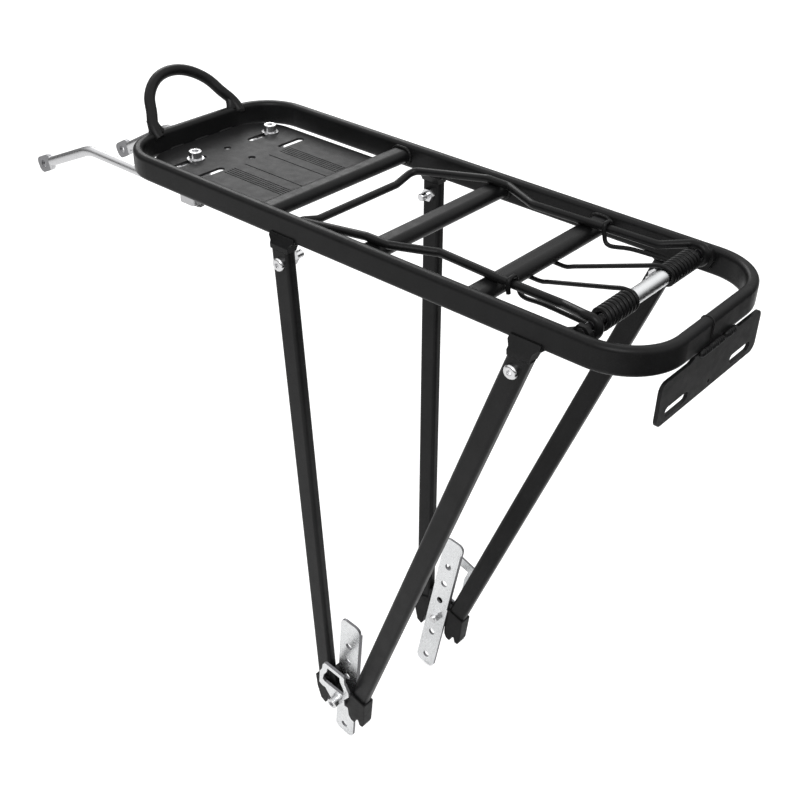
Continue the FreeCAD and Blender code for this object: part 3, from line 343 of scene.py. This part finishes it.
def stadium(centre, breadth, depth):
    """Outline of a flattened tube that runs along Y: breadth along X, depth along Z."""
    radius = depth / 2
    reach = breadth / 2 - radius
    arc_steps = 10
    points = []
    for sign in (1, -1):
        for k in range(arc_steps + 1):
            turn = -math.pi / 2 + math.pi * k / arc_steps
            across = sign * (reach + radius * math.cos(turn))
            points.append(centre + Vector((across, 0, sign * radius * math.sin(turn))))
    return points


# ------------------------------------------------------------------ springs


def make_spring(side):
    """Torsion spring wound from wire: its inner leg stays under the rear cross bar, its outer
    leg hooks over the clip."""
    sign = 1 if side == "left" else -1
    sleeve_low, sleeve_high = box_of("axle_sleeve")
    axle = (sleeve_low + sleeve_high) / 2
    bar_low, bar_high = box_of("crossbar_rear")
    gauge, outside = 2.6 * MM, 13.0 * MM
    radius = outside / 2 - gauge / 2
    gap = 0.1 * MM
    # The coil's first and last turns, measured from the middle of the axle.
    begin, end = 17.8 * MM, 45.7 * MM
    turns, points_per_turn = 8.5, 20

    # The inner leg runs straight from under the bar up to the coil.
    clear_of_bar = Vector((bar_low.x - 3 * MM, 12 * MM, bar_low.z - gauge / 2 - gap))
    leaving_coil = axle + Z_AXIS * radius + Y_AXIS * begin
    leaving_coil += Vector((5 * MM, -0.2 * MM, -0.3 * MM))
    path = [clear_of_bar + X_AXIS * 16 * MM, clear_of_bar + X_AXIS * 8 * MM, clear_of_bar]
    path += [clear_of_bar.lerp(leaving_coil, share) for share in (0.12, 0.5, 0.88)]
    path.append(leaving_coil)

    steps = round(turns * points_per_turn)
    for k in range(steps + 1):
        turn = math.pi / 2 + 2 * math.pi * turns * k / steps
        along = begin + (end - begin) * k / steps
        path.append(Vector((
            axle.x + radius * math.cos(turn),
            along,
            axle.z + radius * math.sin(turn),
        )))

    # The outer leg hooks over the clip's arm, which rests on the rear cross bar.
    arm = Vector((-117.0 * MM, 46.0 * MM, bar_high.z + CLIP_WIRE / 2 + gap))
    lift = CLIP_WIRE / 2 + gauge / 2 + gap
    slant = lift * 0.75
    path += [
        Vector((axle.x + 7 * MM, end, axle.z - radius + 0.3 * MM)),
        Vector((arm.x - 20 * MM, end - 2.0 * MM, axle.z - radius + 0.2 * MM)),
        Vector((arm.x - 5 * MM, arm.y - lift - 0.4 * MM, arm.z - 7.5 * MM)),
        Vector((arm.x - 1 * MM, arm.y - lift, arm.z - 2.0 * MM)),
        Vector((arm.x, arm.y - slant, arm.z + slant)),
        Vector((arm.x, arm.y, arm.z + lift)),
        Vector((arm.x, arm.y + slant, arm.z + slant)),
        Vector((arm.x - 0.5 * MM, arm.y + lift, arm.z - 1.0 * MM)),
        Vector((arm.x - 1.0 * MM, arm.y + lift, arm.z - 4.0 * MM)),
    ]

    centre_line = smooth_path([Vector((p.x, sign * p.y, p.z)) for p in path], 0.9 * MM)
    points, faces = swept(centre_line, gauge / 2)
    if sign < 0:
        faces = [tuple(reversed(face)) for face in faces]
    spring = make_piece(f"spring_{side}", points, faces, "black_wire")
    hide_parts(f"torsion_spring_{side}")
    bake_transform(spring)


make_spring("left")
make_spring("right")


# -------------------------------------------------------------------- welds


def weld_crossbars():
    """Beads where the ends of the cross bars meet the rails."""
    clearance, inset = 1.0 * MM, 0.5 * MM
    for name in ("front", "middle", "rear"):
        low, high = box_of(f"crossbar_{name}")
        centre = (low + high) / 2
        breadth = high.x - low.x + clearance
        depth = high.z - low.z + clearance
        for side, y in (("left", high.y - inset), ("right", low.y + inset)):
            place = Vector((centre.x, y, centre.z))
            weld_bead(f"weld_{name}_bar_{side}", stadium(place, breadth, depth), 1.25 * MM)


def weld_saddles():
    """Beads round the saddles of the legs, under the rails."""
    inner, outer, margin = 63.6 * MM, 69.4 * MM, 0.4 * MM
    rail_low = box_of("platform_loop")[0].z
    inner_level, outer_level = rail_low + 0.2 * MM, rail_low + 0.5 * MM
    for station in ("front", "rear"):
        for side, sign in (("left", 1), ("right", -1)):
            low, high = box_of(f"{station}_leg_tab_{side}")
            corners = [
                Vector((low.x + margin, sign * inner, inner_level)),
                Vector((high.x - margin, sign * inner, inner_level)),
                Vector((high.x - margin, sign * outer, outer_level)),
                Vector((low.x + margin, sign * outer, outer_level)),
            ]
            weld_bead(f"weld_{station}_saddle_{side}", corners, 1.1 * MM)


def weld_light_plate():
    """Two thick, uneven lumps behind the lamp bracket's top, and a fine bead before it."""
    low, high = box_of("rear_light_plate")
    level = high.z - 0.4 * MM
    behind, before = low.x - 0.3 * MM, high.x + 0.1 * MM
    thick, fine = 2.2 * MM, 1.2 * MM
    beads = (
        ("back_left", behind, 17.5 * MM, -6.0 * MM, thick),
        ("back_right", behind, -9.0 * MM, -19.0 * MM, thick),
        ("front", before, -21.0 * MM, 21.0 * MM, fine),
    )
    for mark, x, start, stop, radius in beads:
        ends = [Vector((x, start, level)), Vector((x, stop, level))]
        weld_bead(f"weld_light_plate_{mark}", ends, radius, closed=False)


def weld_axle_lugs():
    """Beads along the lower edge and the front edge of the clip's axle lugs."""
    rail_face = 62.8 * MM
    for side, sign in (("left", 1), ("right", -1)):
        low, high = box_of(f"axle_bracket_{side}")
        edge = (
            (low.x + 1.5 * MM, low.z + 1.5 * MM),
            (high.x - 1.5 * MM, low.z + 3.0 * MM),
            (high.x - 0.5 * MM, low.z + 8.0 * MM),
            (high.x - 7.0 * MM, high.z - 3.5 * MM),
        )
        outline = [Vector((x, sign * rail_face, z)) for x, z in edge]
        weld_bead(f"weld_axle_lug_{side}", outline, 0.9 * MM, closed=False)


def weld_front_plate():
    """Three short beads above and three below, where the plate meets the loop's front bar."""
    spacing, reach = 22.0 * MM, 6.0 * MM
    low, high = box_of("front_plate")
    seam = high.x - 0.2 * MM
    for mark, z in (("top", high.z), ("bottom", low.z)):
        for i in range(3):
            middle = (i - 1) * spacing
            ends = [Vector((seam, middle - reach, z)), Vector((seam, middle + reach, z))]
            weld_bead(f"weld_plate_{mark}_{i}", ends, 1.1 * MM, closed=False)


def seam_rear_bar():
    """Butt weld where the two ends of the loop meet in its rear bar."""
    low, high = box_of("platform_loop")
    centre = Vector((low.x + RAIL_BREADTH / 2, 8.0 * MM, (low.z + high.z) / 2))
    flat_x = RAIL_BREADTH / 2 - RAIL_ROUNDING
    flat_z = (high.z - low.z) / 2 - RAIL_ROUNDING
    corner_steps = 6
    outline = []
    for sign_x, sign_z, turn in ((1, 1, 0), (-1, 1, 90), (-1, -1, 180), (1, -1, 270)):
        for k in range(corner_steps + 1):
            angle = math.radians(turn + 90 * k / corner_steps)
            outline.append(centre + Vector((
                sign_x * flat_x + RAIL_ROUNDING * math.cos(angle),
                0,
                sign_z * flat_z + RAIL_ROUNDING * math.sin(angle),
            )))
    weld_bead("seam_rear_bar", outline, 0.55 * MM)


def make_hoop_skirts():
    """Flared weld fillet round each foot of the front hoop, widest on its inner side."""
    loop_high = box_of("platform_loop")[1]
    lean = math.radians(44.0)
    up = Vector((math.sin(lean), 0, math.cos(lean)))
    radius, height, sink = 3.85 * MM, 7.5 * MM, 1.2 * MM
    widening, inner_widening, thinning = 2.6 * MM, 1.6 * MM, 0.5 * MM
    inward_slope = 0.15
    sides, rings = 28, 9
    for side, sign in (("left", 1), ("right", -1)):
        foot = Vector((loop_high.x - RAIL_BREADTH / 2, sign * 35.2 * MM, loop_high.z))
        points, faces = [], []
        for ring in range(rings):
            share = ring / (rings - 1)
            flare = (1.0 - share) ** 2.2
            centre = foot + up * (height * share) - Z_AXIS * (sink * flare)
            centre -= Y_AXIS * (sign * height * share * inward_slope)
            deep = radius - thinning * flare
            for k in range(sides):
                turn = 2 * math.pi * k / sides
                inward = max(0.0, -sign * math.sin(turn))
                wide = radius + flare * (widening + inner_widening * inward)
                points.append(centre + Vector((deep * math.cos(turn), wide * math.sin(turn), 0)))
        for ring in range(rings - 1):
            for k in range(sides):
                a, b = ring * sides + k, ring * sides + (k + 1) % sides
                faces.append((a, b, b + sides, a + sides))
        faces.append(tuple(reversed(range(sides))))
        faces.append(tuple(range((rings - 1) * sides, rings * sides)))
        make_piece(f"hoop_skirt_{side}", points, faces, "black_tube", "frame")


weld_crossbars()
weld_saddles()
weld_light_plate()
weld_axle_lugs()
weld_front_plate()
seam_rear_bar()
make_hoop_skirts()


# ------------------------------------------------------- floor, light, camera


def make_sheet(name, x_low, x_high, y_low, y_high, level):
    """Flat piece of the stage, facing up."""
    mesh = bpy.data.meshes.new(name)
    corners = [(x_low, y_low), (x_high, y_low), (x_high, y_high), (x_low, y_high)]
    mesh.from_pydata([(x, y, level) for x, y in corners], [], [(0, 1, 2, 3)])
    sheet = bpy.data.objects.new(name, mesh)
    bpy.context.scene.collection.objects.link(sheet)
    return sheet


def matt(name, dark, light, roughness):
    """Matt surface with faint cloudiness between two grey levels."""
    material, tree, shader = new_material(name)
    tint = mix_colour(tree, noise(tree, 3.0), (dark,) * 3, (light,) * 3)
    tree.links.new(tint, shader.inputs["Base Color"])
    shader.inputs["Roughness"].default_value = roughness
    shader.inputs["Specular IOR Level"].default_value = 0.0
    return material, tree, shader


def make_floor():
    """Pale floor; it glows a little towards the camera, as an overexposed sweep does."""
    reach = 6.0
    floor = make_sheet("floor", -reach, reach, -reach, reach, cad_box[0][2] - 1.0 * MM)
    material, tree, shader = matt("floor_paint", 0.88, 0.92, 0.9)
    ray = tree.nodes.new("ShaderNodeLightPath")
    glow = remap(tree, ray.outputs["Is Camera Ray"], 0, 1, 0.0, 0.42)
    tree.links.new(glow, shader.inputs["Emission Strength"])
    shader.inputs["Emission Color"].default_value = (1.0, 1.0, 1.0, 1.0)
    floor.data.materials.append(material)


def make_dark_card():
    """Black card on the floor behind the object, seen only in reflections."""
    card = make_sheet("dark_card", -3.0, -0.42, -3.0, 0.70, cad_box[0][2] - 0.5 * MM)
    card.data.materials.append(matt("card_black", 0.010, 0.016, 1.0)[0])
    card.visible_camera = False
    card.visible_diffuse = False
    card.visible_transmission = False
    card.visible_shadow = False


def area_light(name, place, target, width, height, power):
    data = bpy.data.lights.new(name, "AREA")
    data.shape = "RECTANGLE"
    data.size = width
    data.size_y = height
    data.energy = power
    lamp = bpy.data.objects.new(name, data)
    lamp.location = place
    lamp.rotation_euler = (Vector(target) - Vector(place)).to_track_quat("-Z", "Y").to_euler()
    bpy.context.scene.collection.objects.link(lamp)


def make_world():
    """White studio; reflections also see darker walls round a bright ceiling."""
    world = bpy.data.worlds.new("studio")
    world.use_nodes = True
    tree = world.node_tree
    background = tree.nodes["Background"]
    place = tree.nodes.new("ShaderNodeTexCoord")
    split = tree.nodes.new("ShaderNodeSeparateXYZ")
    tree.links.new(place.outputs["Generated"], split.inputs["Vector"])
    wall = remap(tree, split.outputs["Z"], 0.12, 0.60, 0.08, 1.15)
    ray = tree.nodes.new("ShaderNodeLightPath")
    level = tree.nodes.new("ShaderNodeMix")
    level.inputs["A"].default_value = 0.72
    tree.links.new(ray.outputs["Is Glossy Ray"], level.inputs["Factor"])
    tree.links.new(wall, level.inputs["B"])
    tree.links.new(level.outputs["Result"], background.inputs["Strength"])
    background.inputs["Color"].default_value = (1.0, 1.0, 1.0, 1.0)
    bpy.context.scene.world = world


def make_lights():
    middle = (0.0, 0.0, 0.3)
    area_light("key", (-0.7, 1.3, 1.9), middle, 1.0, 1.0, 16.0)
    area_light("fill", (-1.6, -0.6, 1.0), middle, 1.4, 1.0, 1.0)
    area_light("rim", (1.4, -1.0, 1.4), middle, 1.0, 0.8, 9.0)


def make_camera():
    """Camera at the viewing angle of a three-quarter view from above and behind, on the left."""
    azimuth, elevation, roll = math.radians(219.91), math.radians(33.75), math.radians(1.52)
    back = Vector((
        math.sin(azimuth) * math.cos(elevation),
        -math.cos(azimuth) * math.cos(elevation),
        math.sin(elevation),
    ))
    level_right = Z_AXIS.cross(back).normalized()
    level_up = back.cross(level_right)
    right = math.cos(roll) * level_right + math.sin(roll) * level_up
    up = math.cos(roll) * level_up - math.sin(roll) * level_right
    data = bpy.data.cameras.new("camera")
    data.sensor_width = 36.0
    data.lens = 52.44
    data.shift_x, data.shift_y = 0.0024, 0.0021
    data.clip_start, data.clip_end = 0.01, 50.0
    camera = bpy.data.objects.new("camera", data)
    turn = Matrix((right, up, back)).transposed().to_4x4()
    camera.matrix_world = Matrix.Translation((-0.4194, 0.4975, 0.7103)) @ turn
    bpy.context.scene.collection.objects.link(camera)
    bpy.context.scene.camera = camera


make_floor()
make_dark_card()
make_world()
make_lights()
make_camera()
bpy.context.scene.view_settings.view_transform = "Standard"
